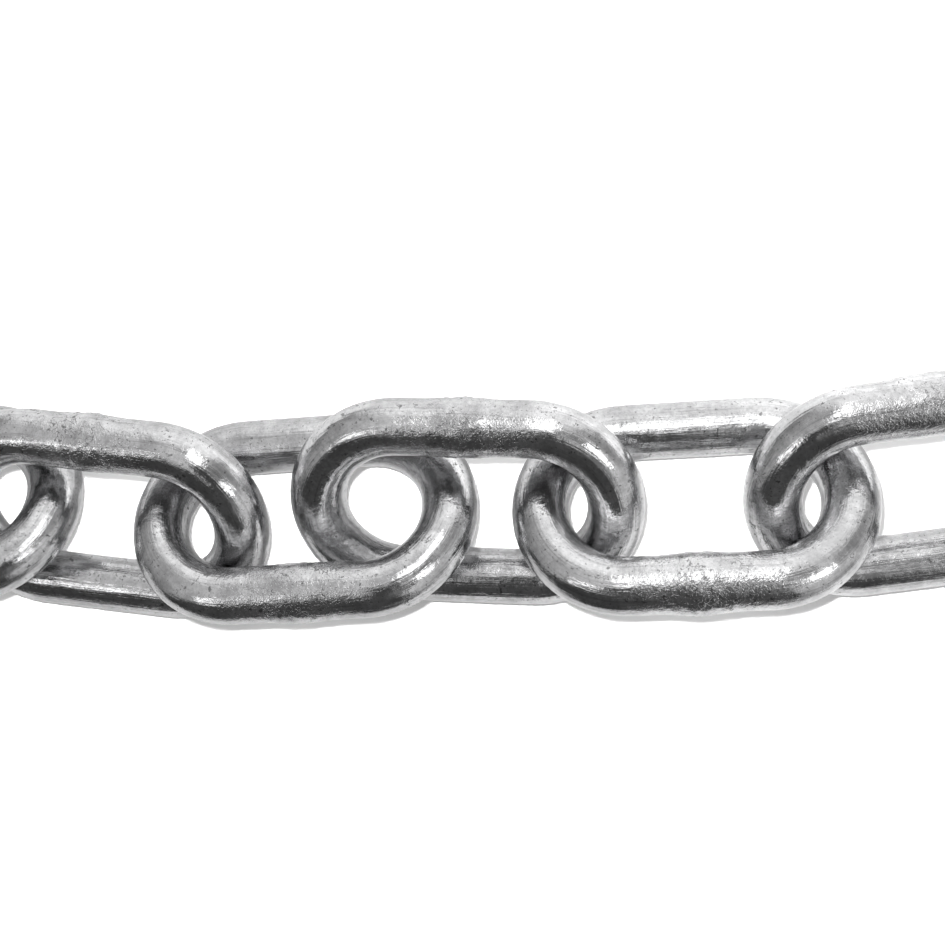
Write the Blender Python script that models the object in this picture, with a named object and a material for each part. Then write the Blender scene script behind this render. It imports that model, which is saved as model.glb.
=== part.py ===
"""A one-foot cut of short-link steel chain, welded from 5 mm wire, lying slack on a level floor.

Every link leans on its neighbours: one bar lies on the floor and the other, the welded one, is raised.
The welded bars lie on the near side and on the far side by turns.
"""
import math

import bpy
from mathutils import Matrix, Vector

# Driving sizes, in metres
WIRE = 0.005
INNER_LENGTH = 0.0215
INNER_WIDTH = 0.010
WELD_LENGTH = 0.0064
WELD_SWELL = 1.06  # the trimmed butt weld is this much thicker than the wire

# How the chain swings: on a floor, each link turns upright about this point of the bow before it
SWING_REACH = 0.003  # from the middle of a bow outwards, close to where the two wires cross

# How the chain lies
LEAN = math.radians(29)  # angle between the floor and the plane of a link
# One row a link, from the left end: its centre along X and Y in millimetres, then its heading in degrees
LIE = (
    (-123.9, 4.9, -1.0),
    (-104.4, 4.0, -4.0),
    (-84.8, 2.2, -6.5),
    (-65.3, 0.2, -5.0),
    (-45.7, -2.2, -9.0),
    (-27.6, -4.4, -6.0),
    (-8.7, -4.4, 3.5),
    (5.9, -3.3, -1.5),
    (25.75, -3.3, 3.0),
    (45.6, -1.6, 8.0),
    (65.1, 0.5, 4.5),
    (84.6, 2.4, 6.5),
    (104.3, 3.7, 1.0),
    (123.8, 3.6, -2.0),
)

# The wire as a polygon
SIDES = 10
BEVEL_RESOLUTION = SIDES // 2 - 2
BOW_STEPS = 10

# The shape of a link, from the driving sizes
BOW = (INNER_WIDTH + WIRE) / 2  # from the middle of a bow to the middle of the wire
BAR_HALF = (INNER_LENGTH - INNER_WIDTH) / 2  # half the straight length of a bar
# A polygon of this radius has the area of the round wire
SECTION_RADIUS = WIRE / 2 * math.sqrt(2 * math.pi / (SIDES * math.sin(2 * math.pi / SIDES)))
SECTION_FLAT = SECTION_RADIUS * math.cos(math.pi / SIDES)  # from the middle of the wire to a flat
CENTRE_HEIGHT = SECTION_FLAT + BOW * math.sin(LEAN)  # a link's centre above the floor

STEEL_COLOUR = (0.60, 0.60, 0.61, 1.0)
STEEL_ROUGHNESS = 0.25


def clear_scene():
    for obj in list(bpy.data.objects):
        bpy.data.objects.remove(obj, do_unlink=True)


def bright_steel():
    """Bare drawn steel, bright from tumbling."""
    steel = bpy.data.materials.new("bright_steel")
    steel.use_nodes = True
    shader = steel.node_tree.nodes["Principled BSDF"]
    shader.inputs["Base Color"].default_value = STEEL_COLOUR
    shader.inputs["Metallic"].default_value = 1.0
    shader.inputs["Roughness"].default_value = STEEL_ROUGHNESS
    return steel


def bow_points(side):
    """The middle of the wire round one bow, as (x, y, swell). Side is 1 at +X and -1 at -X."""
    for step in range(BOW_STEPS + 1):
        angle = math.pi * (step / BOW_STEPS - 0.5)
        yield side * (BAR_HALF + BOW * math.cos(angle)), side * BOW * math.sin(angle), 1.0


def weld_points():
    """The welded bar at +Y, thicker in the middle of the weld, as (x, y, swell)."""
    for along, swell in ((0.5, 1.0), (0.25, WELD_SWELL), (-0.25, WELD_SWELL), (-0.5, 1.0)):
        yield along * WELD_LENGTH, BOW, swell


def floor_points():
    """The plain bar at -Y. Its two points keep the section square to it, so that it lies flat."""
    for along in (-0.8, 0.8):
        yield along * BAR_HALF, -BOW, 1.0


def link_wire(steel):
    """One link as a wire bent round in its own plane and closed at the weld."""
    wire = bpy.data.curves.new("link_wire", "CURVE")
    wire.dimensions = "3D"
    wire.bevel_depth = SECTION_RADIUS
    wire.bevel_resolution = BEVEL_RESOLUTION
    spline = wire.splines.new("POLY")
    path = [*bow_points(1), *weld_points(), *bow_points(-1), *floor_points()]
    spline.points.add(len(path) - 1)
    for point, (x, y, swell) in zip(spline.points, path):
        point.co = (x, y, 0, 1)
        point.radius = swell
        # Turned with the link's lean, so that a flat of the section lies on the floor
        point.tilt = -LEAN
    spline.use_cyclic_u = True
    wire.materials.append(steel)
    return wire


def lying_place(index):
    """Where a link lies. The welded bar is on the near side for the first link, and then by turns."""
    x, y, heading = LIE[index]
    turn = math.radians(heading) + (0 if index % 2 else math.pi)
    place = Matrix.Translation((x / 1000, y / 1000, CENTRE_HEIGHT))
    return place @ Matrix.Rotation(turn, 4, "Z") @ Matrix.Rotation(LEAN, 4, "X")


def pivot_place(index):
    """The joint at a link's right end: its origin close to where the wires cross, its Z upright."""
    to_the_right = 1 if index % 2 else -1
    return Matrix.Translation(lying_place(index) @ Vector((to_the_right * (BAR_HALF + SWING_REACH), 0, 0)))


def put(obj, world, parent=None, parent_world=None):
    """Places an object in the world and hangs it on its parent, which keeps it there."""
    obj.matrix_basis = world
    if parent:
        obj.parent = parent
        obj.matrix_parent_inverse = parent_world.inverted()


def build_chain():
    """Each link hangs on a pivot in the bow of the link before it, so that turning a pivot swings the rest."""
    chain = bpy.data.collections.new("steel_chain")
    bpy.context.scene.collection.children.link(chain)
    wire = link_wire(bright_steel())
    before, before_place = None, None
    for index in range(len(LIE)):
        number = f"{index + 1:02d}"
        link = bpy.data.objects.new(f"link_{number}", wire)
        chain.objects.link(link)
        place = lying_place(index)
        if before is None:
            put(link, place)
        else:
            pivot = bpy.data.objects.new(f"pivot_{number}", None)
            pivot.empty_display_size = WIRE
            chain.objects.link(pivot)
            put(pivot, pivot_place(index - 1), before, before_place)
            put(link, place, pivot, pivot_place(index - 1))
        before, before_place = link, place


clear_scene()
build_chain()
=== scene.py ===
import math

import bpy
import numpy as np
from mathutils import Matrix, Vector


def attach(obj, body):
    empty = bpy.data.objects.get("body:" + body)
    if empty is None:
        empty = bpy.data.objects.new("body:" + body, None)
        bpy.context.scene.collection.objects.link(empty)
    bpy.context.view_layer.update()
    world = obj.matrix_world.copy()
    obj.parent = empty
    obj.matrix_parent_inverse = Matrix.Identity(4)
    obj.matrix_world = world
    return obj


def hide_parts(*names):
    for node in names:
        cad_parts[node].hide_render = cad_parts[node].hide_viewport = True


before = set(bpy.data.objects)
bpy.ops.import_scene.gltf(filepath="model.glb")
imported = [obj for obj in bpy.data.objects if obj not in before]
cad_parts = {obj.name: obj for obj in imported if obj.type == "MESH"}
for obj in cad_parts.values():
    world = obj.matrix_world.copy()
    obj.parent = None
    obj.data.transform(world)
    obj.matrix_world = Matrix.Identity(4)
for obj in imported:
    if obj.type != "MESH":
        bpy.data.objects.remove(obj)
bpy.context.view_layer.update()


# The view: a camera right over the middle of the chain, about 12 cm up and turned a little to the left.
# The chain runs out of the picture at both sides, as a length of stock does on a table.
LENS = 48.89  # mm, on a 36 mm square picture
CAMERA_PLACE = (0.02054, -0.00048, 0.1185)
CAMERA_TURN = (-0.045, 7.103, -0.121)  # degrees

camera = bpy.data.cameras.new("view")
camera.lens = LENS
camera.sensor_width = 36
camera.clip_start = 0.005
camera.clip_end = 50
view = bpy.data.objects.new("view", camera)
view.location = CAMERA_PLACE
view.rotation_mode = "ZYX"
view.rotation_euler = [math.radians(angle) for angle in CAMERA_TURN]
bpy.context.scene.collection.objects.link(view)
bpy.context.scene.camera = view


# The wire: drawn low-carbon steel, made bright by tumbling in a barrel.
# Drawing leaves fine lines along it, tumbling leaves small dents, and the weld stays coarse and grey.
WIRE = 0.005
STEEL_GREY = 0.60
STEEL_BLUE = 1.01  # times the grey
ROUGHNESS = (0.04, 0.09)  # in the darker blotches, and in the paler ones
ROUGHER_AT_WELD = 0.02
BOW_RUBBED = 0.45  # this share of the roughness and of the lines is gone from the bows
# How far apart its marks are, in metres
LINES_ACROSS = 0.0003
LINES_ALONG = 0.008
LINES_SEED_STEP = 7.3  # how far apart in the noise the lines of two links are
RUBBED_PATCHES = 0.006
BLOTCHES = 0.0026
DENTS = 0.0012
COARSE_GRAIN = 0.0005
FINE_GRAIN = 0.00013
CHIPS = 0.0006
SMEARS = 0.00035
PITS = 0.00030
FLECKS = 0.00022
FOLDS = 0.0011
FOLDED_PATCHES = 0.0016
# How dark and how pale they are, times the grey of the steel
BLOTCH_TONE = (0.78, 1.08)
SMEAR_TONE = (0.90, 1.04)
PIT_TONE = (0.45, 1.0)
LINE_TONE = (0.80, 1.0)
CHIP_DARKNESS = 0.6
FOLD_DARKNESS = 0.45
# How high they are, in metres
LINE_HEIGHT = 0.00008
DENT_HEIGHT = 0.00004
FINE_HEIGHT = 0.000006
FINE_AT_WELD = 0.000016  # more than elsewhere
COARSE_HEIGHT = 0.000018
COARSE_AT_WELD = 0.000018  # more than elsewhere
FLECK_HEIGHT = 0.000009
FOLD_DEPTH = 0.00003
# Where each starts and where it is full, from the middle of the weld along the wire
HEATED = (0.0074, 0.0040)
FOLDED = (0.0050, 0.0030)
BOW_NEAR_WELD = (0.0050, 0.0085)
BOW_FAR_FROM_WELD = (0.0310, 0.0275)
# The ragged end of the heated part
HEAT_SPOTS = 0.0013
HEAT_WANDER = 0.006


class Nodes:
    """A node tree that is written down in the order in which it is read."""

    def __init__(self, tree):
        self.tree = tree

    def node(self, kind, inputs=(), **settings):
        """A node with its settings. Its inputs take values, or the sockets that feed them."""
        made = self.tree.nodes.new(kind)
        for key, value in settings.items():
            setattr(made, key, value)
        for key, value in dict(inputs).items():
            if isinstance(value, bpy.types.NodeSocket):
                self.tree.links.new(value, made.inputs[key])
            else:
                made.inputs[key].default_value = value
        return made

    def math(self, operation, *values):
        return self.node("ShaderNodeMath", dict(enumerate(values)), operation=operation).outputs[0]

    def plus(self, value, *others):
        for other in others:
            value = self.math("ADD", value, other)
        return value

    def minus(self, value, other):
        return self.math("SUBTRACT", value, other)

    def times(self, value, *others):
        for other in others:
            value = self.math("MULTIPLY", value, other)
        return value

    def join(self, x, y, z):
        return self.node("ShaderNodeCombineXYZ", {"X": x, "Y": y, "Z": z}).outputs[0]

    def parts(self, vector):
        return self.node("ShaderNodeSeparateXYZ", {0: vector}).outputs

    def scaled(self, vector, factor):
        return self.node("ShaderNodeVectorMath", {0: vector, "Scale": factor}, operation="SCALE").outputs[0]

    def moved(self, vector, by):
        return self.node("ShaderNodeVectorMath", {0: vector, 1: by}, operation="ADD").outputs[0]

    def ramp(self, value, start, end, low=0.0, high=1.0):
        """Goes smoothly from low at start to high at end."""
        inputs = {"Value": value, "From Min": start, "From Max": end, "To Min": low, "To Max": high}
        return self.node("ShaderNodeMapRange", inputs, interpolation_type="SMOOTHSTEP").outputs[0]

    def mixed(self, share, low, high):
        """The low value at a share of zero, and the high value at one."""
        return self.plus(self.times(low, self.minus(1.0, share)), self.times(share, high))

    def noise(self, vector, size, detail=2.0, rough=0.5, warp=0.0):
        """Noise from 0 to 1, whose spots are about that many metres across."""
        inputs = {"Vector": self.scaled(vector, 1 / size), "Scale": 1.0, "Detail": detail,
                  "Roughness": rough, "Distortion": warp}
        return self.node("ShaderNodeTexNoise", inputs).outputs[0]

    def wander(self, vector, size, reach, detail=3.0, rough=0.5):
        """A length that changes from spot to spot, by up to its reach either way."""
        return self.times(self.minus(self.noise(vector, size, detail, rough), 0.5), 2.0, reach)

    def attribute(self, name):
        return self.node("ShaderNodeAttribute", attribute_name=name).outputs


def drawing_lines(n, section, run, seed):
    """Lines from the drawing die: thin across the wire and long along it."""
    across, along = 1 / LINES_ACROSS, 1 / LINES_ALONG
    inputs = {
        "Vector": n.join(n.times(section[0], across), n.times(section[1], across), n.times(run[0], along)),
        "W": n.plus(n.times(run[1], along), n.times(seed, LINES_SEED_STEP)),
        "Scale": 1.0, "Detail": 5.0, "Roughness": 0.58,
    }
    return n.node("ShaderNodeTexNoise", inputs, noise_dimensions="4D").outputs[0]


def bright_steel():
    """Bare steel, bright and lined along the wire, and coarse and folded at the weld."""
    steel = bpy.data.materials.new("bright_steel")
    steel.use_nodes = True
    n = Nodes(steel.node_tree)
    shader = steel.node_tree.nodes["Principled BSDF"]
    place = n.node("ShaderNodeTexCoord").outputs["Object"]
    section = n.parts(n.attribute("section")["Vector"])
    run = n.parts(n.attribute("run")["Vector"])
    from_weld = run[2]
    lines = drawing_lines(n, section, run, n.attribute("seed")["Fac"])
    blotches = n.noise(place, BLOTCHES, 5.0, rough=0.65)

    # The weld's own surface fades out where the heat ended
    weld = n.ramp(n.plus(from_weld, n.wander(place, HEAT_SPOTS, HEAT_WANDER, 4.0, rough=0.7)), *HEATED)
    # The bows are rubbed smoother than the bars, since they roll on each other
    bow = n.times(n.ramp(from_weld, *BOW_NEAR_WELD), n.ramp(from_weld, *BOW_FAR_FROM_WELD))
    bar = n.minus(1.0, n.times(bow, BOW_RUBBED))
    # Fine folds that wander over the weld, where the hot skin was squeezed
    folded = n.times(n.ramp(n.noise(place, FOLDED_PATCHES, 1.0), 0.52, 0.60), n.ramp(from_weld, *FOLDED))
    folding = n.math("ABSOLUTE", n.minus(n.noise(place, FOLDS, 2.0, warp=1.2), 0.5))
    fold = n.times(n.ramp(folding, 0.016, 0.004), folded)

    roughness = n.times(n.ramp(blotches, 0.35, 0.65, *ROUGHNESS), bar)
    roughness = n.plus(roughness, n.times(weld, ROUGHER_AT_WELD))
    n.tree.links.new(roughness, shader.inputs["Roughness"])

    # Darker blotches and smears, then pits and specks of old scale, and larger chips of it in groups
    tone = n.times(n.ramp(blotches, 0.36, 0.62, *BLOTCH_TONE), STEEL_GREY)
    tone = n.times(tone, n.ramp(n.noise(place, SMEARS, 3.0, rough=0.7), 0.30, 0.65, *SMEAR_TONE))
    tone = n.times(tone, n.ramp(n.noise(place, PITS, 2.0, rough=0.7), 0.30, 0.36, *PIT_TONE))
    chips = n.times(n.ramp(n.noise(place, CHIPS, 3.0, rough=0.7), 0.60, 0.64), n.ramp(blotches, 0.48, 0.56))
    tone = n.times(tone, n.minus(1.0, n.times(chips, CHIP_DARKNESS)))
    tone = n.times(tone, n.ramp(lines, 0.34, 0.46, *LINE_TONE))
    tone = n.times(tone, n.minus(1.0, n.times(fold, FOLD_DARKNESS)))
    colour = n.node("ShaderNodeCombineColor", {0: tone, 1: tone, 2: n.times(tone, STEEL_BLUE)}).outputs[0]
    n.tree.links.new(colour, shader.inputs["Base Color"])
    shader.inputs["Metallic"].default_value = 1.0

    # The lines are rubbed away in places, and gone from the weld
    rubbed = n.ramp(n.noise(place, RUBBED_PATCHES), 0.42, 0.62, 1.0, 0.6)
    line_share = n.times(n.times(n.minus(1.0, weld), rubbed), bar)
    flecks = n.times(n.ramp(n.noise(place, FLECKS, 1.0), 0.50, 0.62), weld)
    fine = n.noise(place, FINE_GRAIN, rough=0.6)
    coarse = n.noise(place, COARSE_GRAIN, 3.0, rough=0.6)
    height = n.plus(
        n.times(lines, LINE_HEIGHT, line_share),
        n.times(n.noise(place, DENTS), DENT_HEIGHT),
        n.times(fine, n.plus(FINE_HEIGHT, n.times(weld, FINE_AT_WELD))),
        n.times(coarse, n.plus(COARSE_HEIGHT, n.times(weld, COARSE_AT_WELD))),
        n.times(flecks, FLECK_HEIGHT),
        n.times(fold, -FOLD_DEPTH),
    )
    bump = n.node("ShaderNodeBump", {"Height": height, "Distance": 1.0, "Strength": 1.0})
    n.tree.links.new(bump.outputs[0], shader.inputs["Normal"])
    return steel


# The links: wire bent round into flat loops, each through the one before, and closed by a butt weld
# in the middle of one bar. The weld is upset a little thicker than the wire and trimmed.
INNER_LENGTH = 0.0215
INNER_WIDTH = 0.010
BAR_HALF = (INNER_LENGTH - INNER_WIDTH) / 2  # half the straight length of a bar
RINGS = 420
SIDES = 64
CIRCLE_STEPS = 400  # in the circle that becomes the two bows
LINK_INPUTS = (
    ("Wire", WIRE), ("Inner Length", INNER_LENGTH), ("Inner Width", INNER_WIDTH),
    ("Weld Length", 0.0064), ("Weld Swell", 0.05), ("Weld Shift", 0.0),
    ("Weld Lumps", 0.00008), ("Flash", 0.00008), ("Ledge", 0.00006), ("Dents", 0.00003), ("Seed", 0.0),
)
# How far apart the marks in its mesh are, in metres
SHALLOW_DENTS = 0.0035
LUMPS = 0.0009
STUBS = 0.0006
LEDGE_TEETH = 0.0007
LUMPY_SPOTS = 0.002
# How far the edges of the ledge and of the lumpy part wander, in metres either way
LEDGE_WANDER = 0.0006
LUMPY_WANDER = 0.002
# Where each starts and where it is full, from the middle of the weld along the wire
LUMPY = (0.0036, 0.0022)
FLASH = (0.0028, 0.0012)
LEDGE_LEFT = (-0.0030, -0.0026)
LEDGE_RIGHT = (0.0034, 0.0002)
# The same from the plane of the link, and for the ledge from the outer side of the bar too
FLASH_OFF_PLANE = (0.0017, 0.0008)
LEDGE_INNER_EDGE = (-0.0010, -0.0014)
SEED_STEP = 0.1  # how far apart in the noise two links are
SURELY_BOW = 0.001  # past the end of a bar


def link_tree():
    """One link in its own plane, its length along X and its weld in the middle of the bar at +Y."""
    t = Nodes(bpy.data.node_groups.new("welded_link", "GeometryNodeTree"))
    for name, value in LINK_INPUTS:
        made = t.tree.interface.new_socket(name, in_out="INPUT", socket_type="NodeSocketFloat")
        made.default_value = value
    t.tree.interface.new_socket("Steel", in_out="INPUT", socket_type="NodeSocketMaterial")
    t.tree.interface.new_socket("Link", in_out="OUTPUT", socket_type="NodeSocketGeometry")
    given = t.node("NodeGroupInput").outputs

    def kept(geometry, name, value, kind="FLOAT"):
        """The geometry with one more value for each of its points."""
        inputs = {"Geometry": geometry, "Name": name, "Value": value}
        return t.node("GeometryNodeStoreNamedAttribute", inputs, data_type=kind, domain="POINT").outputs[0]

    def recalled(name, kind="FLOAT"):
        return t.node("GeometryNodeInputNamedAttribute", {"Name": name}, data_type=kind).outputs[0]

    # A circle's halves are moved apart, which leaves the two bars between them
    bow = t.times(t.plus(given["Inner Width"], given["Wire"]), 0.5)
    bar_half = t.times(t.minus(given["Inner Length"], given["Inner Width"]), 0.5)
    circle_inputs = {"Resolution": CIRCLE_STEPS, "Radius": bow}
    circle = t.node("GeometryNodeCurvePrimitiveCircle", circle_inputs).outputs[0]
    quarter_turn = {"Geometry": circle, "Rotation": (0, 0, math.pi / 2)}
    from_top = t.node("GeometryNodeTransform", quarter_turn).outputs[0]
    here = t.node("GeometryNodeInputPosition").outputs[0]
    # Minus one at the left and one at the right, and zero where the circle crosses the middle
    side = t.math("MINIMUM", t.math("MAXIMUM", t.times(t.parts(here)[0], 1e5), -1.0), 1.0)
    apart = t.join(t.times(side, bar_half), 0.0, 0.0)
    loop = t.node("GeometryNodeSetPosition", {"Geometry": from_top, "Offset": apart}).outputs[0]
    wire = t.node("GeometryNodeResampleCurve", {"Curve": loop, "Count": RINGS}).outputs[0]

    # Each ring's place round the wire as a turn of a circle, and its distance from the weld
    length = t.node("GeometryNodeSplineParameter").outputs["Length"]
    whole = t.node("GeometryNodeSplineLength").outputs["Length"]
    signed = t.math("WRAP", length, t.times(whole, 0.5), t.times(whole, -0.5))
    from_weld = t.math("ABSOLUTE", t.minus(signed, given["Weld Shift"]))
    turn = t.times(t.math("DIVIDE", length, whole), 2 * math.pi)
    reach = t.math("DIVIDE", whole, 2 * math.pi)
    run = t.join(t.times(t.math("COSINE", turn), reach), t.times(t.math("SINE", turn), reach), from_weld)
    swell = t.ramp(from_weld, t.times(given["Weld Length"], 0.5), 0.0, 1.0, t.plus(given["Weld Swell"], 1.0))
    wire = kept(wire, "run", run, "FLOAT_VECTOR")
    wire = kept(wire, "swell", swell)
    outline = {"Resolution": SIDES, "Radius": t.times(given["Wire"], 0.5)}
    round_wire = t.node("GeometryNodeCurvePrimitiveCircle", outline).outputs[0]
    round_wire = kept(round_wire, "section", t.node("GeometryNodeInputPosition").outputs[0], "FLOAT_VECTOR")
    sweep = {"Curve": wire, "Profile Curve": round_wire, "Scale": recalled("swell")}
    solid = t.node("GeometryNodeCurveToMesh", sweep).outputs[0]

    # Dents all over, lumps over the weld, and what the trimming left of the flash round its middle
    place = t.moved(here, t.join(t.times(given["Seed"], SEED_STEP), 0.0, 0.0))
    off_plane = t.math("ABSOLUTE", t.parts(here)[2])
    off_weld = t.parts(recalled("run", "FLOAT_VECTOR"))[2]
    off_weld = t.plus(off_weld, t.wander(place, LUMPY_SPOTS, LUMPY_WANDER))
    dents = t.wander(place, SHALLOW_DENTS, given["Dents"], 2.0)
    lumps = t.times(t.ramp(off_weld, *LUMPY), t.wander(place, LUMPS, given["Weld Lumps"], rough=0.6))
    stub = t.times(t.ramp(t.noise(place, STUBS, 3.0), 0.45, 0.70), given["Flash"])
    stub = t.times(t.times(t.ramp(off_plane, *FLASH_OFF_PLANE), t.ramp(off_weld, *FLASH)), stub)
    # At the outer side a ledge of flash is left, which ends short at one end and thins out at the other
    ragged = t.wander(place, LEDGE_TEETH, LEDGE_WANDER, rough=0.6)
    along = t.plus(t.parts(here)[0], t.times(ragged, 0.5))
    outwards = t.plus(t.minus(off_plane, t.parts(here)[1]), t.plus(bow, ragged))
    ledge = t.times(t.ramp(along, *LEDGE_LEFT), t.ramp(along, *LEDGE_RIGHT))
    ledge = t.times(ledge, t.ramp(outwards, *LEDGE_INNER_EDGE), given["Ledge"])
    rise = t.plus(dents, lumps, ledge, stub)
    offset = t.scaled(t.node("GeometryNodeInputNormal").outputs[0], rise)
    worn = t.node("GeometryNodeSetPosition", {"Geometry": solid, "Offset": offset}).outputs[0]
    smooth = t.node("GeometryNodeSetShadeSmooth", {"Geometry": worn}).outputs[0]
    seeded = kept(smooth, "seed", given["Seed"])
    clad = t.node("GeometryNodeSetMaterial", {"Geometry": seeded, "Material": given["Steel"]}).outputs[0]
    t.node("NodeGroupOutput", {0: t.node("GeometryNodeRealizeInstances", {"Geometry": clad}).outputs[0]})
    return t.tree


def lying_place(node):
    """Where a link lies, read off its solid's two bows: X along the link, Y to the raised bar, Z up."""
    corners = np.unique(np.array([v.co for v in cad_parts[node].data.vertices]).round(7), axis=0)
    bows = corners
    # The first round takes in the thicker weld, so the next ones keep to the bows
    for _ in range(3):
        middle = bows.mean(0)
        axes = np.linalg.eigh((bows - middle).T @ (bows - middle))[1]
        along = (corners - middle) @ axes[:, 2]
        bows = corners[np.abs(along - (along.min() + along.max()) / 2) > BAR_HALF + SURELY_BOW]
    middle = Vector(bows.mean(0))
    up = Vector(axes[:, 0])
    up *= math.copysign(1, up.z)
    raised = Vector(axes[:, 1])
    raised *= math.copysign(1, raised.z)
    return Matrix.Translation(middle) @ Matrix((raised.cross(up), raised, up)).transposed().to_4x4()


def make_link(tree, node, values):
    """One link as a plain mesh in its place."""
    holder = bpy.data.objects.new("bare_" + node, bpy.data.meshes.new("bare_" + node))
    bpy.context.scene.collection.objects.link(holder)
    modifier = holder.modifiers.new("welded_link", "NODES")
    modifier.node_group = tree
    for item in tree.interface.items_tree:
        if item.in_out == "INPUT" and item.name in values:
            modifier[item.identifier] = values[item.name]
    bpy.context.view_layer.update()
    evaluated = holder.evaluated_get(bpy.context.evaluated_depsgraph_get())
    mesh = bpy.data.meshes.new_from_object(evaluated)
    bpy.data.objects.remove(holder)
    mesh.transform(lying_place(node))
    mesh.name = "steel_" + node
    link = bpy.data.objects.new("steel_" + node, mesh)
    bpy.context.scene.collection.objects.link(link)
    return link


steel = bright_steel()
tree = link_tree()
welder = np.random.default_rng(7)
for number, node in enumerate(sorted(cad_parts)):
    weld = {
        "Weld Shift": welder.uniform(-0.0004, 0.0004),
        "Weld Swell": welder.uniform(0.03, 0.06),
        "Weld Lumps": welder.uniform(0.00006, 0.00011),
        "Flash": welder.uniform(0.00005, 0.00011),
        "Ledge": welder.uniform(0.00004, 0.00009),
    }
    link = make_link(tree, node, {"Steel": steel, "Seed": float(number), **weld})
    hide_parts(node)
    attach(link, node)


# The table: a plain white sheet, lit by soft light from the far side. A small lamp, a little to the far
# side of the camera, throws the thin grey shadows along the near edges of the links.
TABLE_HALF = 6
TABLE_DROP = 0.00012  # below the links, whose dents stand out a little from the wire
TABLE_WHITE = 0.85
MIRRORED_WHITE = 0.22  # the picture's white is blown out, and the white in the steel is not
# A glow stands for the light that falls on it from the window, so the steel mirrors a brighter sheet
GLOW_NEAR = 0.28
GLOW_FAR = 0.60
GLOW_FAR_EDGE = 0.04
GLOW_AT_RIGHT = 2.0  # times
GLOW_RIGHT_EDGE = 0.035
# Where the table starts and ends turning darker in what the steel mirrors, in metres towards the near side
MIRRORED_DARK_NEAR = (-0.038, -0.052)
SEEN_GLOW = 0.25  # what the camera sees of it, round the chain
FADE = (0.3, 1.2)  # from the chain, where the sheet turns as white as what is behind it
SHADOW_LIGHT = 86.0  # watts
SHADOW_LAMP_PLACE = (CAMERA_PLACE[0] - 0.005, CAMERA_PLACE[1] + 0.0075, CAMERA_PLACE[2])
SHADOW_LAMP_RADIUS = 0.003


def white_table():
    """Paper white. The steel mirrors it darker towards the near side, and brighter light at the far right.
    """
    white = bpy.data.materials.new("white_table")
    white.use_nodes = True
    paper = white.node_tree.nodes["Principled BSDF"]
    paper.inputs["Roughness"].default_value = 1.0
    paper.inputs["Specular IOR Level"].default_value = 0.0
    paper.inputs["Emission Color"].default_value = (1, 1, 1, 1)
    w = Nodes(white.node_tree)
    place = w.node("ShaderNodeTexCoord").outputs["Object"]
    x, y = w.parts(place)[:2]
    path = w.node("ShaderNodeLightPath").outputs
    # Only in what the steel mirrors, the table turns darker towards the near side, more so at the left, in
    # both its white and its glow
    mirrored_dark_near = w.times(w.ramp(y, *MIRRORED_DARK_NEAR), w.ramp(x, 0.07, 0.03, 0.55, 0.9))
    sheet = w.minus(1.0, w.times(mirrored_dark_near, path["Is Glossy Ray"]))
    seen = path["Is Camera Ray"]
    grey = w.times(sheet, w.ramp(seen, 0.0, 1.0, MIRRORED_WHITE, TABLE_WHITE))
    w.tree.links.new(w.join(grey, grey, grey), paper.inputs["Base Color"])
    glow = w.times(w.ramp(y, 0.0, GLOW_FAR_EDGE, GLOW_NEAR, GLOW_FAR),
                   w.ramp(x, 0.0, GLOW_RIGHT_EDGE, 1.0, GLOW_AT_RIGHT), sheet)
    away = w.node("ShaderNodeVectorMath", {0: place}, operation="LENGTH").outputs["Value"]
    glow = w.mixed(seen, glow, w.ramp(away, *FADE, SEEN_GLOW, 1.0))
    w.tree.links.new(glow, paper.inputs["Emission Strength"])
    return white


def level_sheet(name, x_from, x_to, y_from, y_to):
    """A flat sheet that faces up, in the scene."""
    mesh = bpy.data.meshes.new(name)
    corners = [(x_from, y_from, 0), (x_to, y_from, 0), (x_to, y_to, 0), (x_from, y_to, 0)]
    mesh.from_pydata(corners, [], [(0, 1, 2, 3)])
    made = bpy.data.objects.new(name, mesh)
    bpy.context.scene.collection.objects.link(made)
    return made


table = level_sheet("table", -TABLE_HALF, TABLE_HALF, -TABLE_HALF, TABLE_HALF)
table.location.z = -TABLE_DROP
table.data.materials.append(white_table())

shadow_light = bpy.data.lights.new("beside_the_camera", "POINT")
shadow_light.shadow_soft_size = SHADOW_LAMP_RADIUS
shadow_light.energy = SHADOW_LIGHT
# The light doesn't fall off with distance, so the whole table is lit alike
shadow_light.use_nodes = True
lit = Nodes(shadow_light.node_tree)
steady = lit.node("ShaderNodeLightFalloff", {"Strength": 1.0}).outputs["Constant"]
lit.tree.links.new(steady, shadow_light.node_tree.nodes["Emission"].inputs["Strength"])
shadow_lamp = bpy.data.objects.new("beside_the_camera", shadow_light)
shadow_lamp.location = SHADOW_LAMP_PLACE
shadow_lamp.visible_glossy = False
shadow_lamp.visible_camera = False
bpy.context.scene.collection.objects.link(shadow_lamp)


# The light that the steel mirrors: a pale room with a wide window at the far side, a dark wall at the
# near side, and three soft lamps, one of them close above.
ROOM = 0.43  # the walls' brightness, where a white backdrop has one
TO_THE_RIGHT = 0.20  # brighter by this towards +X
UPWARDS = 0.40  # and by this towards the ceiling
WINDOW = 0.75  # and by this at the window
SHADE = 0.5  # darker by this share in a corner at the right
DARK_WALL = 0.075
SOFT_NEAR = (-0.5, 0.0)  # how far a direction points to the far side, and how much soft light is there
SOFT_FAR = (0.9, 1.85)
BACKDROP = 1.0
UNDER_CAMERA = Vector((0.02, 0, 0))
LAMP_DISTANCE = 0.8


def toward(azimuth, from_zenith):
    """A direction, from its azimuth and its angle from the zenith in degrees."""
    a, z = math.radians(azimuth), math.radians(from_zenith)
    return Vector((math.sin(z) * math.cos(a), math.sin(z) * math.sin(a), math.cos(z)))


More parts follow.
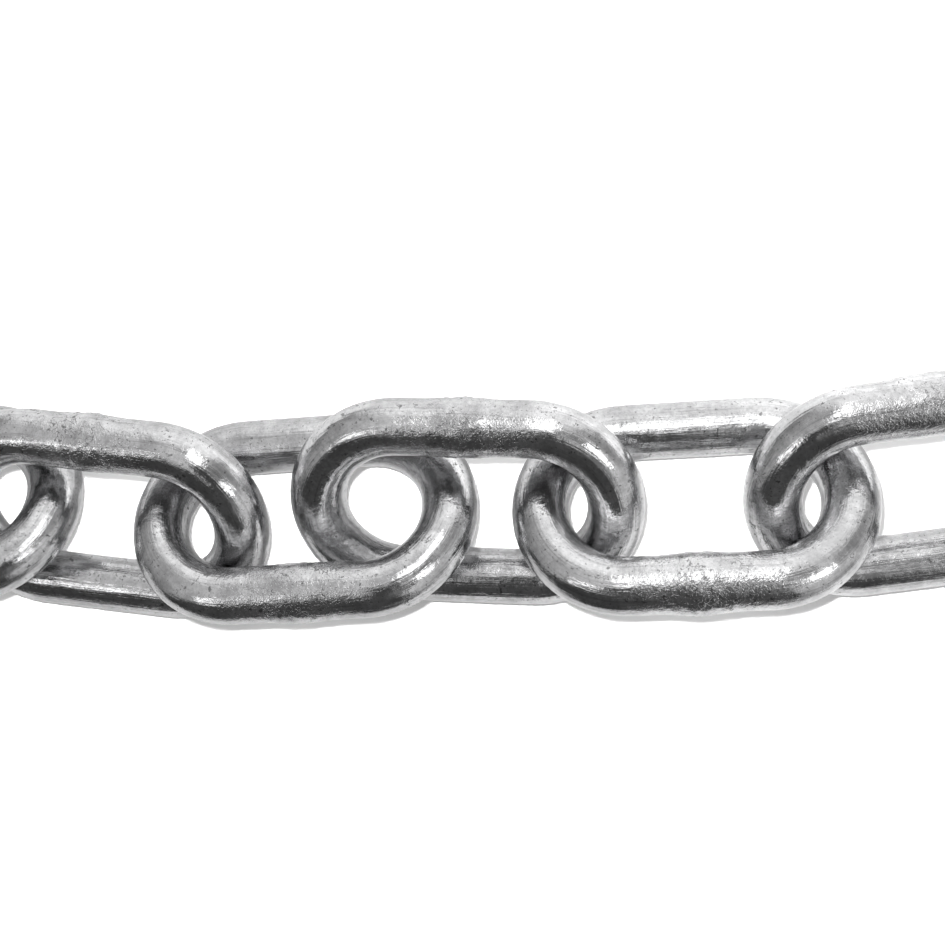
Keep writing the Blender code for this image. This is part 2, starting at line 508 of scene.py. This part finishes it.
def patch(nodes, heading, middle, edge, full):
    """One within so many degrees of a direction, and zero from the edge outwards."""
    inputs = {0: heading, 1: middle}
    along = nodes.node("ShaderNodeVectorMath", inputs, operation="DOT_PRODUCT").outputs["Value"]
    return nodes.ramp(along, math.cos(math.radians(edge)), math.cos(math.radians(full)))


bpy.context.scene.view_settings.view_transform = "Standard"
world = bpy.data.worlds.new("studio")
bpy.context.scene.world = world
world.use_nodes = True
w = Nodes(world.node_tree)
heading = w.node("ShaderNodeTexCoord").outputs["Generated"]
hx, hy, hz = w.parts(heading)[:3]
room = w.plus(
    ROOM,
    w.times(hx, TO_THE_RIGHT),
    w.times(w.math("MAXIMUM", hz, 0.0), UPWARDS),
    w.times(patch(w, heading, toward(82, 80), edge=50, full=22), WINDOW),
)
shade = w.times(patch(w, heading, toward(20, 60), edge=26, full=8), SHADE)
room = w.times(room, w.minus(1.0, shade))
room = w.mixed(patch(w, heading, toward(-106, 80), edge=50, full=43), room, DARK_WALL)
# The table gets its own soft light, and what shows past its edge is plain white
path = w.node("ShaderNodeLightPath").outputs
soft = w.ramp(hy, SOFT_NEAR[0], SOFT_FAR[0], SOFT_NEAR[1], SOFT_FAR[1])
room = w.mixed(path["Is Diffuse Ray"], room, soft)
room = w.mixed(path["Is Camera Ray"], room, BACKDROP)
w.tree.links.new(room, world.node_tree.nodes["Background"].inputs["Strength"])
world.node_tree.nodes["Background"].inputs["Color"].default_value = (1, 1, 1, 1)


def lamp(name, place, half_width, half_length, radiance):
    """An oval soft lamp that faces the chain and shows only as a reflection."""
    light = bpy.data.lights.new(name, "AREA")
    light.shape = "ELLIPSE"
    light.size = 2 * half_width
    light.size_y = 2 * half_length
    light.energy = radiance * math.pi * math.pi * half_width * half_length
    made = bpy.data.objects.new(name, light)
    made.location = place
    made.rotation_mode = "QUATERNION"
    made.rotation_quaternion = (UNDER_CAMERA - Vector(place)).to_track_quat("-Z", "Y")
    made.visible_camera = False
    made.visible_diffuse = False
    bpy.context.scene.collection.objects.link(made)


right_place = toward(-18, 41) * LAMP_DISTANCE + UNDER_CAMERA
left_place = toward(208, 36) * LAMP_DISTANCE + UNDER_CAMERA
lamp("right_lamp", right_place, half_width=0.10, half_length=0.12, radiance=3.8)
lamp("left_lamp", left_place, half_width=0.045, half_length=0.12, radiance=3.4)
lamp("near_lamp", (0.028, 0.046, 0.118), half_width=0.017, half_length=0.040, radiance=2.6)


# The camera that took the picture: a dark body with a strap at its near side and a grip at its right.
# It is a level card, clear between the dark shapes, and it shows only as a reflection in the steel.
CARD = (-0.05, 0.12, -0.35, 0.05)
CARD_ABOVE_LENS = 0.002
# Each edge is where a dark shape starts and where it is full, in metres on the card
BODY_MIDDLE = 0.012
BODY_SIDES = (0.031, 0.023)  # from its middle
BODY_FAR_EDGE = (-0.003, -0.018)
STRAP_LEFT_EDGE = (0.0, 0.03)
STRAP_RIGHT_EDGE = (0.108, 0.092)
STRAP_FAR_EDGE = (-0.042, -0.052)
STRAP_COVER = 0.75
GRIP_MIDDLE = (0.066, 0.002, 0)
GRIP_EDGE = (0.040, 0.012)  # from its middle
GRIP_COVER = 0.7
BODY_GREY = 0.09


def camera_shadows():
    """Dark where the body, the strap and the grip are, and clear elsewhere."""
    dark = bpy.data.materials.new("camera_body")
    dark.use_nodes = True
    dark.node_tree.nodes.clear()
    b = Nodes(dark.node_tree)
    place = b.node("ShaderNodeTexCoord").outputs["Object"]
    x, y = b.parts(place)[:2]
    aside = b.math("ABSOLUTE", b.minus(x, BODY_MIDDLE))
    body = b.times(b.ramp(aside, *BODY_SIDES), b.ramp(y, *BODY_FAR_EDGE))
    strap = b.times(b.ramp(x, *STRAP_RIGHT_EDGE, 0.0, STRAP_COVER), b.ramp(x, *STRAP_LEFT_EDGE),
                    b.ramp(y, *STRAP_FAR_EDGE))
    inputs = {0: place, 1: GRIP_MIDDLE}
    from_grip = b.node("ShaderNodeVectorMath", inputs, operation="DISTANCE").outputs["Value"]
    grip = b.ramp(from_grip, *GRIP_EDGE, 0.0, GRIP_COVER)
    cover = b.math("MAXIMUM", b.math("MAXIMUM", body, strap), grip)
    clear = b.node("ShaderNodeBsdfTransparent").outputs[0]
    grey = b.node("ShaderNodeEmission", {"Color": (1, 1, 1, 1), "Strength": BODY_GREY}).outputs[0]
    mix = b.node("ShaderNodeMixShader", {0: cover, 1: clear, 2: grey}).outputs[0]
    b.node("ShaderNodeOutputMaterial", {0: mix})
    return dark


card = level_sheet("camera_body", *CARD)
card.location.z = CAMERA_PLACE[2] + CARD_ABOVE_LENS
card.visible_camera = False
card.visible_diffuse = False
card.visible_shadow = False
card.data.materials.append(camera_shadows())
